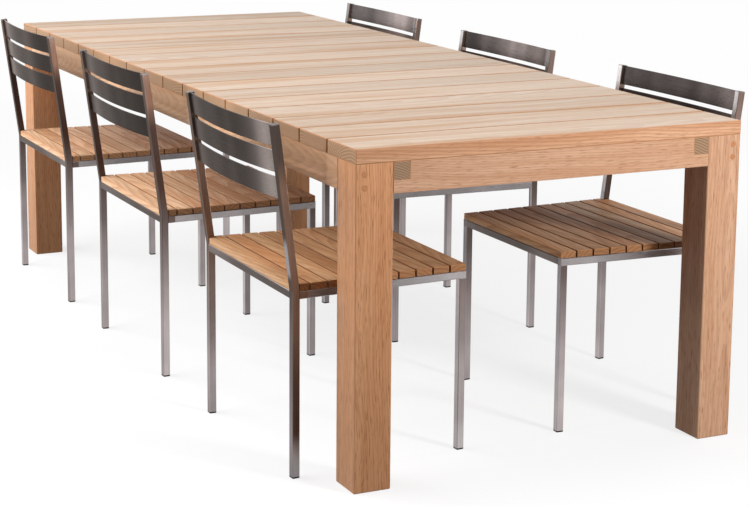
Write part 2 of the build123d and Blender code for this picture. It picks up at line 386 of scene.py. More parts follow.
def wood_mark(tree, mark, place, strength=1.0):
    """One of the marks, from 0 to its strength."""
    lines, detail, roughness, low, high, fade = wood_marks[mark]
    long = add(tree, "ShaderNodeVectorMath", [place, lines], operation="MULTIPLY")
    noise = add(tree, "ShaderNodeTexNoise",
                {"Vector": long, "Scale": 1.0, "Detail": detail, "Roughness": roughness})
    return add(tree, "ShaderNodeMapRange", {"Value": noise, "From Min": low, "From Max": high,
                                            "To Max": strength}, interpolation_type=fade)


for mark, pattern in wood_marks.items():
    print("%s %.1f mm wide" % (mark, 1000 / pattern[0][1]))

# %% [markdown]
# ## Oiled teak
# Teak is a golden brown hardwood. Sanded and oiled it has a low satin sheen, a little duller in the
# streaks, and its pores can be felt as fine pits. The colours are laid over each other in the order
# in which the eye sorts them: streaks, heartwood, late wood, pores, cut ends, and then how bright the
# board is, its arrises and its gaps.

# %% Teak material
foot_height, top_height = 0.05, 0.70


def teak(name, pale, mid, dark, heart, ends, edge, ring_mm, ring_strength, pore_strength,
         heart_strength, tones, rough, taper, gloss=0.25, gap=None, foot_shade=None):
    """A teak finish.

    pale, mid and heart are the wood's colours, dark is for late wood and pores, ends for early and
    late wood on cut ends, edge for the painted shade on arrises and gap for the painted shade on faces
    between boards. tones is how bright the darkest and the lightest board are, and the last pair, for
    legs, how bright a leg is at its foot and at its top: painted shade that darkens it to the floor.
    """
    material, tree = new_material(name)
    grain = add(tree, "ShaderNodeAttribute", attribute_name="grain").outputs["Vector"]
    board_tone, end_grain = [add(tree, "ShaderNodeAttribute", attribute_name=label).outputs["Fac"]
                             for label in ("board_tone", "end_grain")]
    late_wood, bent = growth_rings(tree, grain, ring_mm, taper)
    streak, pores = wood_mark(tree, "streaks", bent), wood_mark(tree, "pores", grain)
    band = wood_mark(tree, "heartwood", bent, heart_strength)
    lines = add(tree, "ShaderNodeMath", [late_wood, ring_strength], operation="MULTIPLY")
    dashes = add(tree, "ShaderNodeMath", [pores, pore_strength], operation="MULTIPLY")
    # Cut fibres show the rings end on, as narrower lines
    narrow = add(tree, "ShaderNodeMath", [late_wood, 2.0], operation="POWER")
    cut = add(tree, "ShaderNodeMix", {"Factor": narrow, "A": linear(ends[0]), "B": linear(ends[1])},
              data_type="RGBA")
    colour = linear(pale)
    for amount, tint in ((streak, linear(mid)), (band, linear(heart)), (lines, linear(dark)),
                         (dashes, linear(dark)), (end_grain, cut)):
        colour = add(tree, "ShaderNodeMix", {"Factor": amount, "A": colour, "B": tint}, data_type="RGBA")

    # Most boards are pale and a few are dark, so the random tone gets a power below 1
    bright = add(tree, "ShaderNodeMath", [board_tone, 0.4], operation="POWER")
    bright = add(tree, "ShaderNodeMapRange", {"Value": bright, "To Min": tones[0], "To Max": tones[1]})
    colour = add(tree, "ShaderNodeVectorMath", [colour, bright], operation="MULTIPLY")
    if foot_shade:
        # Painted shade: the wood darkens from the table top down to the foot, as light falls off to the
        # floor
        height = add(tree, "ShaderNodeTexCoord").outputs["Object"]
        height = add(tree, "ShaderNodeSeparateXYZ", [height]).outputs["Z"]
        painted_falloff = add(tree, "ShaderNodeMapRange", {"Value": height, "From Min": foot_height,
                                               "From Max": top_height, "To Min": foot_shade[0], "To Max": foot_shade[1]})
        colour = add(tree, "ShaderNodeVectorMath", [colour, painted_falloff], operation="MULTIPLY")
    # Painted shade: arrises and faces in a gap get darker colours
    for label, tint in (("arris", edge), ("gap", gap)):
        if tint:
            marked = add(tree, "ShaderNodeAttribute", attribute_name=label).outputs["Fac"]
            colour = add(tree, "ShaderNodeMix", {"Factor": marked, "A": colour, "B": linear(tint)},
                         data_type="RGBA")

    rougher = add(tree, "ShaderNodeMapRange", {"Value": streak, "To Min": rough, "To Max": rough + 0.12})
    height = add(tree, "ShaderNodeMath", [pores, -1.0, 1.0], operation="MULTIPLY_ADD")
    bump = add(tree, "ShaderNodeBump", {"Strength": 0.25, "Distance": 0.0004, "Height": height})
    shader = add(tree, "ShaderNodeBsdfPrincipled",
                 {"Base Color": colour, "Roughness": rougher, "Normal": bump, "IOR": 1.5,
                  "Specular IOR Level": gloss})
    add(tree, "ShaderNodeOutputMaterial", {"Surface": shader})
    return material


print("damp shows from %.2f m down to %.2f m" % (top_height, foot_height))

# %% [markdown]
# ## The teak of this set
# One kind of wood, but not one colour. Legs and bearers are golden, with painted shade that darkens
# them towards the floor. The side rails are pale and cut flat, so they show arches, and are painted
# paler still to make up for the shade that the chair backs cast on them. The end rails and one leg are
# from a paler trunk. The top was sanded again and is paler, with a painted sheen in its colour, while
# the planks' ends and edges keep the oiled colour, with painted shade in the gaps between them. Pegs
# are a little redder than the legs. Seats are the liveliest, with strong arches and very different
# slats. All are painted paler than teak to make up for the shade under the table, and some get a copy
# with painted shade, darker and more saturated.

# %% Teak of the table
# Its last pair is painted shade: the legs are darker at the foot than at the top
table_teak = teak(
    "oiled_table_teak", pale="#D8A278", mid="#C88D62", dark="#985E38", heart="#C5875B",
    ends=("#9A7C60", "#755840"), edge="#CA956C", ring_mm=6.0, ring_strength=0.24, pore_strength=0.96,
    heart_strength=0.3, tones=(0.92, 1.04), rough=0.40, taper=0.02, foot_shade=(0.86, 1.17))
# Partly painted light: the side rails are made paler to make up for the shade that the chair backs cast
rail_teak = teak(
    "oiled_side_rail_teak", pale="#E6B993", mid="#D6A47C", dark="#A27048", heart="#CC966C",
    ends=("#AE8A70", "#8A664C"), edge="#CC9C76", ring_mm=8.0, ring_strength=0.22, pore_strength=0.40,
    heart_strength=0.3, tones=(0.98, 1.04), rough=0.42, taper=-0.14)
pale_teak = teak(
    "oiled_pale_teak", pale="#DFB292", mid="#D09E7C", dark="#A06C4A", heart="#CD9872",
    ends=("#9A7C60", "#755840"), edge="#D2A380", ring_mm=6.0, ring_strength=0.28, pore_strength=1.00,
    heart_strength=0.3, tones=(0.98, 1.04), rough=0.40, taper=0.03)
# Its gap colour is painted shade between the planks
plank_teak = teak(
    "oiled_plank_edge_teak", pale="#E0B08C", mid="#CE9872", dark="#9C6440", heart="#C6895F",
    ends=("#BA9472", "#926E50"), edge="#C88F64", ring_mm=7.0, ring_strength=0.40, pore_strength=0.80,
    heart_strength=0.4, tones=(0.92, 1.05), rough=0.42, taper=0.05, gap="#5E402B")
# Paler top: partly sanded wood, partly painted sheen, the white that a top mirrors when seen low
top_teak_with_sheen = teak(
    "sanded_top_teak_painted_sheen", pale="#E0CDBB", mid="#D5BBA4", dark="#B48660", heart="#C99C74",
    ends=("#D2AC88", "#A88260"), edge="#CC966E", ring_mm=7.0, ring_strength=0.24, pore_strength=0.40,
    heart_strength=0.7, tones=(0.80, 1.05), rough=0.42, taper=0.05, gloss=0.15)
dowel_teak = teak(
    "teak_dowel", pale="#D2956A", mid="#C4875C", dark="#A4653C", heart="#C4875C",
    ends=("#C78A5E", "#B97C50"), edge="#BB7E52", ring_mm=3.0, ring_strength=0.3, pore_strength=0.3,
    heart_strength=0.2, tones=(0.96, 1.02), rough=0.42, taper=0.02)
print("table of", [m.name for m in (table_teak, rail_teak, pale_teak, plank_teak, top_teak_with_sheen, dowel_teak)])

# %% Teak of the seats
seat_figure = dict(ring_mm=9.0, ring_strength=0.40, pore_strength=0.50, heart_strength=0.6, rough=0.48,
                   taper=0.07)
# Both copies are painted paler than teak, as painted light for the shade under the table. The second is a
# copy with painted shade, darker and more saturated
lit_seat_teak = teak(
    "oiled_lit_seat_teak", pale="#F4D0AB", mid="#E9B88F", dark="#AE734B", heart="#CE9062",
    ends=("#D8A478", "#B88458"), edge="#CC966A", tones=(0.42, 1.13), gap="#A3734F", **seat_figure)
shaded_seat_teak = teak(
    "oiled_shaded_seat_teak", pale="#F4C797", mid="#E9B07E", dark="#AE6E41", heart="#CE8956",
    ends=("#C0895C", "#A06C42"), edge="#B88053", tones=(0.31, 0.85), gap="#8A5C3B", **seat_figure)
print("seats of", lit_seat_teak.name, "and", shaded_seat_teak.name)

# %% [markdown]
# ## From modifiers to a plain piece
# Every wooden piece goes the same way: a mesh is made, modifiers shape it and store its grain, and
# the evaluated result becomes a plain mesh. A modifier names its inputs by an identifier of its own,
# so one helper looks that up.

# %% Modifier helpers


def add_tree(piece, tree, values):
    """Put a Geometry Nodes tree on an object, with values for its named inputs."""
    modifier = piece.modifiers.new(tree.name, "NODES")
    modifier.node_group = tree
    sockets = {s.name: s.identifier for s in tree.interface.items_tree
               if s.item_type == "SOCKET" and s.in_out == "INPUT"}
    for label, value in values.items():
        modifier[sockets[label]] = value


def ease_edges(piece, width):
    """Round every sharp edge of a piece, as sanding does."""
    bevel = piece.modifiers.new("eased_edges", "BEVEL")
    bevel.width = width
    bevel.segments = 3
    bevel.limit_method = "ANGLE"
    bevel.angle_limit = math.radians(40)


def settle(piece):
    """Replace an object's mesh by its evaluated shape and take its modifiers off."""
    graph = bpy.context.evaluated_depsgraph_get()
    mesh = bpy.data.meshes.new_from_object(piece.evaluated_get(graph), depsgraph=graph)
    piece.modifiers.clear()
    old = piece.data
    piece.data = mesh
    mesh.name = piece.name
    bpy.data.meshes.remove(old)
    return mesh


# The board's length, width and thickness, for fibres along X, Y or Z
grain_axes = {"X": ((1, 0, 0), (0, 1, 0), (0, 0, 1)), "Y": ((0, 1, 0), (1, 0, 0), (0, 0, 1)),
              "Z": ((0, 0, 1), (1, 0, 0), (0, 1, 0))}


def store_grain(piece, direction, pith_min, pith_max, seed, timber, top_timber=None):
    """Store grain on a piece whose fibres run along X, Y or Z; its top may have another finish."""
    along, across, into = grain_axes[direction]
    add_tree(piece, grain_tree, {"Along": along, "Across": across, "Into": into, "Pith Min": pith_min,
                                 "Pith Max": pith_max, "Seed": seed, "Timber": timber,
                                 "Top Timber": top_timber or timber})


print("fibres may run along", list(grain_axes))

# %% [markdown]
# ## From a CAD node to a piece of its own
# A CAD node's mesh is loose triangles. A copy that is to be bevelled is merged first, and flat areas
# get one face each, so that only the real edges are eased. The finished piece then stands for its
# node and rides on the node's body.

# %% Piece helpers
same_point, flat_angle = 1e-6, math.radians(0.5)


def new_piece(name, mesh=None):
    """An object in the scene, at the origin, with a given mesh or an empty one."""
    piece = bpy.data.objects.new(name, mesh or bpy.data.meshes.new(name))
    scene.collection.objects.link(piece)
    return piece


def copy_of_node(node, name):
    """A merged copy of a CAD node's mesh as a piece of its own."""
    mesh = frame["nodes"][node].data.copy()
    mesh.materials.clear()
    shape = bmesh.new()
    shape.from_mesh(mesh)
    bmesh.ops.remove_doubles(shape, verts=shape.verts, dist=same_point)
    bmesh.ops.dissolve_limit(shape, angle_limit=flat_angle, verts=shape.verts, edges=shape.edges)
    shape.to_mesh(mesh)
    shape.free()
    return new_piece(name, mesh)


def hand_over(piece, node, body):
    """Let a finished piece stand for its CAD node."""
    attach(piece, body)
    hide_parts(node)


print("CAD nodes to dress:", len(frame["nodes"]))

# %% [markdown]
# ## The table's frame
# Legs, rails and bearers are jointed: mortises, notches and peg holes make each one a single shape,
# which is copied from the CAD model as it is. The fibres run up a leg and along a rail. A side rail is
# cut flat, with the pith behind its broad face, and the other pieces are quartered. Pegs are sanded
# flush with the leg, so their edges are hardly eased.

# %% Table frame
fibres = {
    "table_front_left_leg": "Z", "table_front_right_leg": "Z", "table_back_left_leg": "Z",
    "table_back_right_leg": "Z", "table_front_end_rail": "X", "table_back_end_rail": "X",
    "table_left_side_rail": "Y", "table_right_side_rail": "Y", "table_bearers": "Y",
    "table_leg_dowels": "Y",
}
other_timber = {"side_rail": rail_teak, "end_rail": pale_teak, "front_right_leg": pale_teak,
                "dowels": dowel_teak}
# Where the pith may be, from the board's middle, along, across and into it
quartered = ((-2.0, -0.05, 0.05), (2.0, 0.05, 0.12))
cut_flat = ((-2.0, 0.04, -0.01), (2.0, 0.05, 0.01))
frame_arris, dowel_arris, frame_seed = 0.0009, 0.0004, 11
for number, (node, direction) in enumerate(fibres.items()):
    piece = copy_of_node(node, node + "_teak")
    dowels = node.endswith("dowels")
    ease_edges(piece, dowel_arris if dowels else frame_arris)
    timber = next((kind for ending, kind in other_timber.items() if node.endswith(ending)), table_teak)
    pith = cut_flat if "side_rail" in node else quartered
    store_grain(piece, direction, *pith, frame_seed + number, timber)
    mesh = settle(piece)
    hand_over(piece, node, "table")
    print(node, timber.name, len(mesh.polygons), "faces")

# %% [markdown]
# ## The plank top
# The top is a row of equal planks with a narrow gap between them: a rule, so Geometry Nodes makes it.
# A line of points, one plank on each, then a Bevel that eases the edges as a sander does. The upper
# faces get the sanded finish with its painted sheen, and the ends and edges the oiled one.

# %% Plank tree


def row_of(tree, shape, count, first, step):
    """Copies of a shape in a straight row, as one mesh."""
    points = add(tree, "GeometryNodeMeshLine", {"Count": count, "Start Location": first, "Offset": step},
                 mode="OFFSET", count_mode="TOTAL")
    row = add(tree, "GeometryNodeInstanceOnPoints", {"Points": points, "Instance": shape})
    return add(tree, "GeometryNodeRealizeInstances", {"Geometry": row})


def end_tree(tree, end, geometry, material):
    """Send a tree's result out as one mesh with its material."""
    geometry = add(tree, "GeometryNodeRealizeInstances", {"Geometry": geometry})
    geometry = add(tree, "GeometryNodeSetMaterial", {"Geometry": geometry, "Material": material})
    tree.links.new(geometry.outputs[0], end.inputs[0])


plank_tree, given, end = new_tree("plank_row", {
    "Count": "Int", "Step": "Vector", "First": "Vector", "Plank Size": "Vector"})
plank = add(plank_tree, "GeometryNodeMeshCube", {"Size": given["Plank Size"]})
planks = row_of(plank_tree, plank, given["Count"], given["First"], given["Step"])
end_tree(plank_tree, end, planks, table_teak)
print("plank tree has", len(plank_tree.nodes), "nodes")

# %% Planks
plank_count, plank_gap, plank_arris, plank_seed = 17, 0.005, 0.002, 5
plank_pith = ((-3.0, -0.12, 0.06), (3.0, 0.12, 0.15))
low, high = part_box("table_planks")
pitch = (high.y - low.y + plank_gap) / plank_count
plank_size = (high.x - low.x, pitch - plank_gap, high.z - low.z)
first_plank_y = low.y + plank_size[1] / 2
piece = new_piece("table_planks_teak")
add_tree(piece, plank_tree, {
    "Count": plank_count, "Step": (0, pitch, 0), "Plank Size": plank_size,
    "First": (0, first_plank_y, (low.z + high.z) / 2)})
ease_edges(piece, plank_arris)
store_grain(piece, "X", *plank_pith, plank_seed, plank_teak, top_teak_with_sheen)
mesh = settle(piece)
hand_over(piece, "table_planks", "table")
print("planks", plank_count, "each %.0f mm wide" % (plank_size[1] * 1000), len(mesh.polygons), "faces")

# %% [markdown]
# ## The slatted seats
# Each seat has ten slats that run across the chair. Its side frames come together towards the front,
# so the slats get shorter and their ends are cut at that angle: the tree makes slats that reach from
# -1 to 1, and scales each point sideways by how far forward it lies. The rear slat is notched round
# the uprights with a boolean.

# %% Seat tree: tapered slats
seat_tree, given, end = new_tree("slatted_seat", {
    "Count": "Int", "Step": "Float", "Slat Size": "Vector", "Rear Reach": "Float", "Taper": "Float",
    "Notch Spacing": "Float", "Notch Size": "Vector", "Turn": "Vector", "Place": "Vector"})
slat_step = add(seat_tree, "ShaderNodeCombineXYZ", {"X": given["Step"]})
half_slat = add(seat_tree, "ShaderNodeVectorMath", [given["Slat Size"], (0.5, 0.0, 0.5)],
                operation="MULTIPLY")
slat = add(seat_tree, "GeometryNodeMeshCube", {"Size": given["Slat Size"]})
slats = row_of(seat_tree, slat, given["Count"], half_slat, slat_step)
spot = add(seat_tree, "GeometryNodeInputPosition")
spot = add(seat_tree, "ShaderNodeSeparateXYZ", [spot]).outputs
drawn_in = add(seat_tree, "ShaderNodeMath", [spot["X"], given["Taper"]], operation="MULTIPLY")
reach = add(seat_tree, "ShaderNodeMath", [given["Rear Reach"], drawn_in], operation="SUBTRACT")
sideways = add(seat_tree, "ShaderNodeMath", [spot["Y"], reach], operation="MULTIPLY")
target = add(seat_tree, "ShaderNodeCombineXYZ", {"X": spot["X"], "Y": sideways, "Z": spot["Z"]})
slats = add(seat_tree, "GeometryNodeSetPosition", {"Geometry": slats, "Position": target})
print("seat tree has", len(seat_tree.nodes), "nodes so far")

# %% Seat tree: notches and place
notch_step = add(seat_tree, "ShaderNodeCombineXYZ", {"Y": given["Notch Spacing"]})
notch_first = add(seat_tree, "ShaderNodeVectorMath", [notch_step, (0.0, -0.5, 0.0)], operation="MULTIPLY")
notch = add(seat_tree, "GeometryNodeMeshCube", {"Size": given["Notch Size"]})
notches = row_of(seat_tree, notch, 2, notch_first, notch_step)
slats = add(seat_tree, "GeometryNodeMeshBoolean", {"Mesh 1": slats, "Mesh 2": notches},
            operation="DIFFERENCE")
slats = add(seat_tree, "GeometryNodeTransform",
            {"Geometry": slats, "Rotation": given["Turn"], "Translation": given["Place"]})
end_tree(seat_tree, end, slats, lit_seat_teak)
print("seat tree has", len(seat_tree.nodes), "nodes")

# %% Seats
slat_count, slat_gap, slat_arris = 10, 0.0044, 0.0013
# Each side frame comes in by 52 mm in a metre; half of a notch's block lies behind the rear slat
frame_taper, notch_spacing, notch_size = 0.0523, 0.517, (0.037, 0.021, 0.2)
seat_seeds = {"front_left_chair": 376, "middle_left_chair": 147, "back_left_chair": 381,
              "front_right_chair": 1428, "middle_right_chair": 383, "back_right_chair": 665}
seats_in_light = ("middle_left_chair", "back_left_chair")
slat_pith = ((-3.0, -0.04, 0.02), (3.0, 0.04, 0.08))
for chair in chairs:
    node = chair + "_seat_slats"
    low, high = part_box(node)
    step = (high.x - low.x + slat_gap) / slat_count
    faces_right = "left" in chair
    piece = new_piece(node + "_teak")
    add_tree(piece, seat_tree, {
        "Count": slat_count, "Step": step, "Slat Size": (step - slat_gap, 2.0, high.z - low.z),
        "Rear Reach": (high.y - low.y) / 2, "Taper": frame_taper,
        "Notch Spacing": notch_spacing, "Notch Size": notch_size,
        "Turn": (0, 0, 0 if faces_right else math.pi),
        "Place": (low.x if faces_right else high.x, (low.y + high.y) / 2, low.z)})
    ease_edges(piece, slat_arris)
    # Painted shade: the front left and the right-hand seats get the darker copy, the others the lit one
    timber = lit_seat_teak if chair in seats_in_light else shaded_seat_teak
    store_grain(piece, "Y", *slat_pith, seat_seeds[chair], timber)
    mesh = settle(piece)
    hand_over(piece, node, chair)
    print(node, timber.name, len(mesh.polygons), "faces")

# %% [markdown]
# ## Grinding tone and painted reflection on steel
# Every face of a tube is ground in a pass of its own and comes out a little paler or darker, and it
# mirrors another part of the room, so a slow noise looked up by place and by the face's direction gives
# each face another tone: partly grinding, partly painted reflection. The flat back slats were brushed
# by hand; their broad paler and darker zones along a slat are painted reflection. A chair's three
# slats mirror the same room, so their zones line up: the grain tree gives all three the same number.

# %% Ground tones
# The tone hardly changes up a leg, and jumps from face to face and from one leg to the next
drift_lines, drift_offset, face_step = (2.2, 2.2, 0.5), (91.75, 0.0, 0.0), (7.0, 7.0, 7.0)
# Painted reflection zones about a quarter of a metre long; the second number keeps the chairs apart
zone_lines, zone_contrast = (4.0, 1.0, 0.0), 11.0


def ground_and_reflected_tone(tree, place, normal, bowed):
    """How bright a face is, partly ground and partly painted reflection: one tone for a tube's face, or
    painted reflection zones along a bowed slat.
    """
    if bowed:
        zone = add(tree, "ShaderNodeAttribute", attribute_name="grain").outputs["Vector"]
        zone = add(tree, "ShaderNodeVectorMath", [zone, zone_lines], operation="MULTIPLY")
        zone = add(tree, "ShaderNodeTexNoise", {"Vector": zone, "Scale": 1.0, "Detail": 2.0})
        zone = add(tree, "ShaderNodeMath", [zone, zone_contrast, -zone_contrast / 2],
                   operation="MULTIPLY_ADD")
        return add(tree, "ShaderNodeMath", [2.0, zone], operation="POWER")
    ground = add(tree, "ShaderNodeVectorMath", [place, drift_lines, drift_offset],
                 operation="MULTIPLY_ADD")
    ground = add(tree, "ShaderNodeVectorMath", [normal, face_step, ground], operation="MULTIPLY_ADD")
    ground = add(tree, "ShaderNodeTexNoise", {"Vector": ground, "Scale": 1.0, "Detail": 0.0})
    return add(tree, "ShaderNodeMapRange", {"Value": ground, "From Min": 0.32, "From Max": 0.68,
                                            "To Min": 0.5, "To Max": 1.25})


print("slat zones of %.2f m" % (1 / zone_lines[0]))

# %% [markdown]
# ## Zones of a side frame
# Metal has no colour of its own to speak of: it shows the room. On the chairs in the photograph it is
# pale near the floor, dark above the seat, and paler again on faces that lean back, on the rails and
# at the uprights' tops. A plain white studio would make all of it pale, so this range of tones is
# written into the finish. It stays with the metal from every side. A zone is where simple masks
# meet: bands of height, the way that a face looks, and in front of or behind the rear legs.

# %% Masks and zones
# The tones of these zones are painted reflection: the pale and dark of the room that steel mirrors
rail_low, rail_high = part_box(chairs[0] + "_front_rail")
rail_middle = (rail_low.z + rail_high.z) / 2
rail_half = rail_high.z - rail_middle
rear_leg_x = min(abs(corner.x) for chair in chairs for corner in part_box(chair + "_rear_rail"))
# Bands of height with soft ends: where the mask starts and stops to change, and from what to what
height_bands = {"rise": (0.06, 0.52, 0.0, 1.0), "foot": (0.05, 0.11, 1.0, 0.0),
                "over_kink": (0.455, 0.475, 0.0, 1.0), "under_slats": (0.53, 0.56, 1.0, 0.0),
                "upper": (0.66, 0.74, 0.0, 1.0)}
# The masks that make each zone; a later zone lies over an earlier one
# The heel zone is a painted highlight above the kink; the other zones are painted reflection
tube_zones = {"front_side": ("in_front", "to_x"), "front_face": ("in_front", "to_y"),
              "front_top": ("in_front", "to_y", "rise"), "foot": ("foot", "to_y"),
              "top": ("upper", "to_y"), "painted_heel_highlight": ("over_kink", "under_slats", "to_x"),
              "rail": ("at_rail", "in_front")}


def tube_masks(tree, place, to_y):
    """Masks that only a side frame needs: its rail, its front part and its faces along X."""
    spot = add(tree, "ShaderNodeSeparateXYZ", [place]).outputs
    at_rail = add(tree, "ShaderNodeMath", [spot["Z"], rail_middle, rail_half], operation="COMPARE")
    in_front = add(tree, "ShaderNodeMath", [spot["X"]], operation="ABSOLUTE")
    in_front = add(tree, "ShaderNodeMath", [in_front, rear_leg_x], operation="LESS_THAN")
    to_x = add(tree, "ShaderNodeMath", [1.0, to_y], operation="SUBTRACT")
    return {"at_rail": at_rail, "in_front": in_front, "to_x": to_x}


def zone_mask(tree, masks, zone):
    """The product of the masks that make a zone."""
    first, *others = [masks[name] for name in tube_zones[zone]]
    for other in others:
        first = add(tree, "ShaderNodeMath", [first, other], operation="MULTIPLY")
    return first


print("rail at %.3f m, rear legs behind %.3f m" % (rail_middle, rear_leg_x))

# %% Tones over the zones
# Back slats and uprights lean 7.5 degrees: the up part of their front's normal is 0.13
level_face, leaning_face = 0.10, 0.125


def steel_tint(tree, masks, upward, low_tones, high_tones, lean_tone, zone_tones):
    """Painted reflection: tones from the floor up to the seat, with the zones and the leaning faces laid
    over them.
    """
    low_tint, high_tint = [
        add(tree, "ShaderNodeMix", {"Factor": masks["to_y"], "A": linear(to_x), "B": linear(to_y)},
            data_type="RGBA") for to_x, to_y in (low_tones, high_tones)]
    tint = add(tree, "ShaderNodeMix", {"Factor": masks["rise"], "A": low_tint, "B": high_tint},
               data_type="RGBA")
    layers = [(zone_mask(tree, masks, zone), zone_tones[zone]) for zone in tube_zones if zone in zone_tones]
    if lean_tone:
        leaning = add(tree, "ShaderNodeMapRange", {"Value": upward, "From Min": level_face,
                                                   "From Max": leaning_face},
                      interpolation_type="SMOOTHSTEP")
        layers.append((leaning, lean_tone))
    for mask, tone in layers:
        tint = add(tree, "ShaderNodeMix", {"Factor": mask, "A": tint, "B": linear(tone)},
                   data_type="RGBA")
    return tint


print("zones of a side frame:", list(tube_zones))

# %% [markdown]
# ## Brushed stainless steel
# The frames are square stainless tube, brushed along its length: fine parallel scratches that blur
# what the metal mirrors and leave light and dark streaks. The streaks are noise stretched along the
# brushing. The tubes of a side frame run up, apart from the rail under the seat, which runs to the
# front, so the material turns its streaks there.

# %% Steel material
# Streaks in a metre along X, Y and Z. Scratches are 0.05 mm wide on the real tube; they are drawn
# about 1 mm wide so that they show
up_lines, rail_lines, cross_lines = (1100, 1100, 5), (5, 1100, 1100), (1100, 5, 1100)
slat_lines, even_lines = (900, 4, 900), (700, 700, 700)


def brushed_steel(name, low_tones, high_tones, lines, lean_tone=None, zone_tones=(), bowed=False):
    """Brushed steel, from its tones at the floor to its tones at the seat, which are painted reflection.

    Each pair of tones is for the faces that look along X and along Y; lean_tone is for faces that
    lean back. lines is how the brushing runs, and zone_tones has the tones of a side frame's zones.
    """
    material, tree = new_material(name)
    place = add(tree, "ShaderNodeTexCoord").outputs["Object"]
    height = add(tree, "ShaderNodeSeparateXYZ", [place]).outputs["Z"]
    normal = add(tree, "ShaderNodeNewGeometry").outputs["True Normal"]
    facing = add(tree, "ShaderNodeSeparateXYZ", [normal]).outputs
    to_y = add(tree, "ShaderNodeMath", [facing["Y"]], operation="ABSOLUTE")
    masks = {"to_y": to_y}
    needed = {"rise"}.union(*(tube_zones[zone] for zone in zone_tones))
    for band, (low, high, below, above) in height_bands.items():
        if band in needed:
            masks[band] = add(tree, "ShaderNodeMapRange",
                              {"Value": height, "From Min": low, "From Max": high,
                               "To Min": below, "To Max": above}, interpolation_type="SMOOTHSTEP")

    lined = add(tree, "ShaderNodeVectorMath", [place, lines], operation="MULTIPLY")
    if zone_tones:
        masks.update(tube_masks(tree, place, to_y))
        on_rail = add(tree, "ShaderNodeVectorMath", [place, rail_lines], operation="MULTIPLY")
        lined = add(tree, "ShaderNodeMix", {"Factor": zone_mask(tree, masks, "rail"), "A": lined,
                                            "B": on_rail}, data_type="VECTOR")
    streak = add(tree, "ShaderNodeTexNoise",
                 {"Vector": lined, "Scale": 1.0, "Detail": 4.0, "Roughness": 0.6})
    blotch = add(tree, "ShaderNodeTexNoise", {"Vector": place, "Scale": 9.0, "Detail": 2.0})
    shade = add(tree, "ShaderNodeMath", [streak, blotch], operation="ADD")
    shade = add(tree, "ShaderNodeMapRange", {"Value": shade, "From Min": 0.7, "From Max": 1.3,
                                             "To Min": 0.78, "To Max": 1.22})
    shade = add(tree, "ShaderNodeMath", [shade, ground_and_reflected_tone(tree, place, normal, bowed)],
                operation="MULTIPLY")

    tint = steel_tint(tree, masks, facing["Z"], low_tones, high_tones, lean_tone, zone_tones)
    tint = add(tree, "ShaderNodeVectorMath", [tint, shade], operation="MULTIPLY")

    rough = add(tree, "ShaderNodeMapRange", {"Value": streak, "From Min": 0.3, "From Max": 0.7,
                                             "To Min": 0.24, "To Max": 0.40})
    bump = add(tree, "ShaderNodeBump", {"Strength": 0.08, "Distance": 0.0002, "Height": streak})
    brushing = add(tree, "ShaderNodeCombineXYZ", {"X": 1.0, "Y": 1.0})
    shader = add(tree, "ShaderNodeBsdfPrincipled",
                 {"Base Color": tint, "Metallic": 1.0, "Roughness": rough, "Normal": bump,
                  "Specular Tint": linear("#DAD4D1"), "Anisotropic": 0.6, "Tangent": brushing})
    add(tree, "ShaderNodeOutputMaterial", {"Surface": shader})
    return material


print("streaks %.1f mm wide" % (1000 / up_lines[0]))

# %% [markdown]
# ## The steel of this set
# Side frames have long streaks up the tubes. The cross rails and the back slats run across the chair.
# The small caps were only ground flat, so their scratches have no one direction. The chair at the
# front left corner gets painted reflections of its own: its uprights are dark at the top and paler
# towards the seat, and the outer rear leg is dark down to its foot, with a painted highlight above the kink.

# %% Steel of the side frames
# Painted reflection: pale near the floor, dark above the seat, and pale on faces that lean back
side_low, side_high, side_lean = "#B0A8A9", "#5A4E49", "#BEBCBE"
frame_zones = {"rail": "#989292", "front_side": "#B6B1B3", "top": "#8B766C"}
corner_zones = {**frame_zones, "top": "#5F534D"}
outer_zones = {**corner_zones, "front_side": "#9C9697", "front_face": "#A39A99", "front_top": "#5E504B",
               "foot": "#AAA4A4", "painted_heel_highlight": "#C4C0C2"}
frame_steel, far_frame_steel, near_frame_steel = [
    brushed_steel(name, (side_low, face_low), (side_high, face_high), up_lines, side_lean, zones)
    for name, face_low, face_high, zones in (
        ("brushed_frame_steel", "#ACA2A2", "#52413A", frame_zones),
        ("brushed_front_frame_steel", "#ACA2A2", "#957867", corner_zones),
        ("brushed_corner_frame_steel", "#554239", "#957867", outer_zones))]
print("side frames of", frame_steel.name, far_frame_steel.name, near_frame_steel.name)

# %% Steel of rails, slats and caps
# Cross rails: paler low and darker high, painted reflection as on the side frames
cross_steel = brushed_steel("brushed_cross_rail_steel", ("#8A8482", "#8A8482"), ("#766E6B", "#766E6B"),
                            cross_lines)
# Painted reflection: the slats are dark as if they mirrored a dark room, and paler where they lean back
slat_steel = brushed_steel("brushed_back_slat_steel", ("#403B39", "#403B39"), ("#403B39", "#403B39"),
                           slat_lines, lean_tone="#5E5857", bowed=True)
cap_steel = brushed_steel("ground_cap_steel", ("#928C8A", "#928C8A"), ("#928C8A", "#928C8A"), even_lines)
print("other steel", cross_steel.name, slat_steel.name, cap_steel.name)

# %% [markdown]
# ## Foot glides
# A tube would scratch a deck, so each foot ends in a black plug of moulded polyethylene. It is a soft,
# waxy plastic: dull, with a low sheen, and scuffed grey all over.

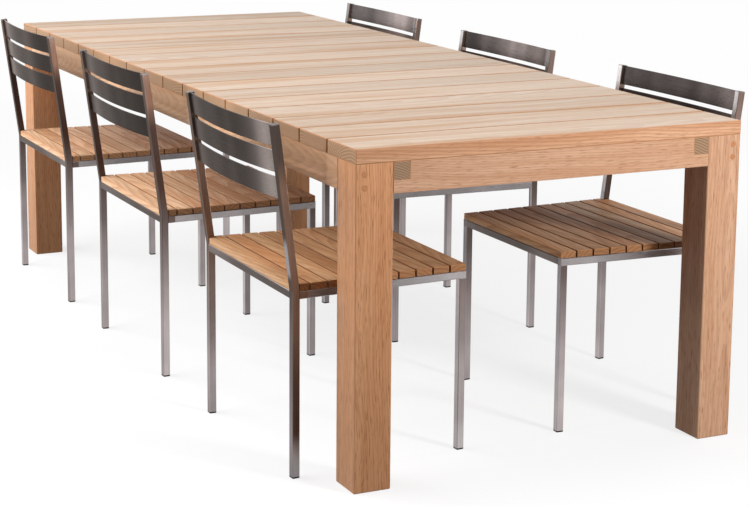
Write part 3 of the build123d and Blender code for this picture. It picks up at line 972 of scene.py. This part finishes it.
# %% Glide material
scuffs_per_metre = 600.0  # scuffs about 1.5 mm across
glide_plastic, tree = new_material("black_moulded_polyethylene")
place = add(tree, "ShaderNodeTexCoord").outputs["Object"]
scuff = add(tree, "ShaderNodeTexNoise", {"Vector": place, "Scale": scuffs_per_metre, "Detail": 3.0})
shade = add(tree, "ShaderNodeMix", {"Factor": scuff, "A": linear("#0C0C0C"), "B": linear("#1C1B1A")},
            data_type="RGBA")
rough = add(tree, "ShaderNodeMapRange", {"Value": scuff, "To Min": 0.45, "To Max": 0.65})
bump = add(tree, "ShaderNodeBump", {"Strength": 0.15, "Distance": 0.0003, "Height": scuff})
shader = add(tree, "ShaderNodeBsdfPrincipled",
             {"Base Color": shade, "Roughness": rough, "Normal": bump, "Specular IOR Level": 0.2})
add(tree, "ShaderNodeOutputMaterial", {"Surface": shader})
print("glides of", glide_plastic.name)

# %% [markdown]
# ## Dressing the CAD tubes
# Tubes, rails, caps and glides already have the right shape, mitres included. Making them again could
# only make them worse, so these nodes stay as they are and only get their finish.

# %% Finishes on the nodes
# The first ending that fits a node's name is used
finishes = {"front_left_chair_right_side_frame": near_frame_steel,
            "front_left_chair_left_side_frame": far_frame_steel,
            "side_frame": frame_steel, "front_rail": cross_steel, "rear_rail": cross_steel,
            "upright_caps": cap_steel, "foot_glides": glide_plastic}
dressed = 0
for name, node in frame["nodes"].items():
    material = next((finish for ending, finish in finishes.items() if name.endswith(ending)), None)
    if material:
        node.data.materials.clear()
        node.data.materials.append(material)
        dressed += 1
print("steel and plastic on", dressed, "nodes")

# %% [markdown]
# ## Back slats
# Three flat strips, bowed between the uprights. Their shape is right in the CAD model too, but the
# finish has to know where it is along each slat, so they are copied and sent through the grain tree,
# which measures a steel slat just as it measures a board. The seed of a chair's painted reflection
# zones takes the place of the pith, the same for all three slats.

# %% Back slats
# Seeds of each chair's painted reflection zones along its back slats
slat_reflection_seeds = {"front_left_chair": 661.4, "middle_left_chair": 889.8, "back_left_chair": 264.6,
                   "front_right_chair": 422.3, "middle_right_chair": 832.3, "back_right_chair": 787.6}
slat_seed = 70
for number, chair in enumerate(chairs):
    node = chair + "_back_slats"
    piece = copy_of_node(node, node + "_steel")
    reflection_seed = (0, slat_reflection_seeds[chair], 0)
    store_grain(piece, "Y", reflection_seed, reflection_seed, slat_seed + number, slat_steel)
    mesh = settle(piece)
    hand_over(piece, node, chair)
    print(node, len(mesh.polygons), "faces")

# %% [markdown]
# ## Screws
# Nothing shows on top of the seats or the table, so slats and planks are held from below: one screw
# through the side rail at each slat end, and one through each bearer into each plank. The rear slat,
# which the uprights hold, has none. Two straight rows on every body are a rule again. The head is a
# low cone with a hexagon socket cut into it.

# %% Screw tree
face_share, key_share = 0.75, 0.4  # the head's flat face and its socket, as parts of its radius
screw_tree, given, end = new_tree("screw_rows", {
    "Count": "Int", "First A": "Vector", "Step A": "Vector", "First B": "Vector", "Step B": "Vector",
    "Head Radius": "Float", "Head Height": "Float", "Metal": "Material"})
face, key = [add(screw_tree, "ShaderNodeMath", [given["Head Radius"], share],
                 operation="MULTIPLY") for share in (face_share, key_share)]
head = add(screw_tree, "GeometryNodeMeshCone", {
    "Vertices": 20, "Radius Top": given["Head Radius"], "Radius Bottom": face,
    "Depth": given["Head Height"]})
socket = add(screw_tree, "GeometryNodeMeshCylinder", {
    "Vertices": 6, "Radius": key, "Depth": given["Head Height"]})
head = add(screw_tree, "GeometryNodeMeshBoolean", {"Mesh 1": head, "Mesh 2": socket},
           operation="DIFFERENCE")
rows = add(screw_tree, "GeometryNodeJoinGeometry")
for row in ("A", "B"):
    heads = row_of(screw_tree, head, given["Count"], given["First " + row], given["Step " + row])
    screw_tree.links.new(heads.outputs[0], rows.inputs[0])
end_tree(screw_tree, end, rows, given["Metal"])
print("screw tree has", len(screw_tree.nodes), "nodes")

# %% Where the screws are
head_radius, head_height = 0.0042, 0.0018
half_bearer, half_tube = 0.0205, 0.009
low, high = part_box("table_bearers")
under = low.z - head_height
screw_rows = {"table": (plank_count, (low.x + half_bearer, first_plank_y, under), (0, pitch, 0),
                        (high.x - half_bearer, first_plank_y, under), (0, pitch, 0))}
under = rail_low.z - head_height
for chair in chairs:
    low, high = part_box(chair + "_seat_slats")
    ahead, rear = (1, low.x) if "left" in chair else (-1, high.x)
    step = (high.x - low.x + slat_gap) / slat_count
    drawn_in = frame_taper * step
    # The second slat from the rear is the first that is screwed
    first_x = rear + ahead * 1.5 * step
    middle, reach = (low.y + high.y) / 2, (high.y - low.y) / 2 - half_tube - 1.5 * drawn_in
    screw_rows[chair] = (slat_count - 1, (first_x, middle - reach, under), (ahead * step, drawn_in, 0),
                         (first_x, middle + reach, under), (ahead * step, -drawn_in, 0))
print("screws planned:", sum(2 * row[0] for row in screw_rows.values()))

# %% Screws
screw_steel = brushed_steel("turned_screw_steel", ("#A8A4A2", "#A8A4A2"), ("#A8A4A2", "#A8A4A2"), even_lines)
for body, (count, first_a, step_a, first_b, step_b) in screw_rows.items():
    piece = new_piece(body + "_screws")
    add_tree(piece, screw_tree, {
        "Count": count, "First A": first_a, "Step A": step_a, "First B": first_b, "Step B": step_b,
        "Head Radius": head_radius, "Head Height": head_height, "Metal": screw_steel})
    mesh = settle(piece)
    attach(piece, body)
    print(body, 2 * count, "screws,", len(mesh.polygons), "faces")
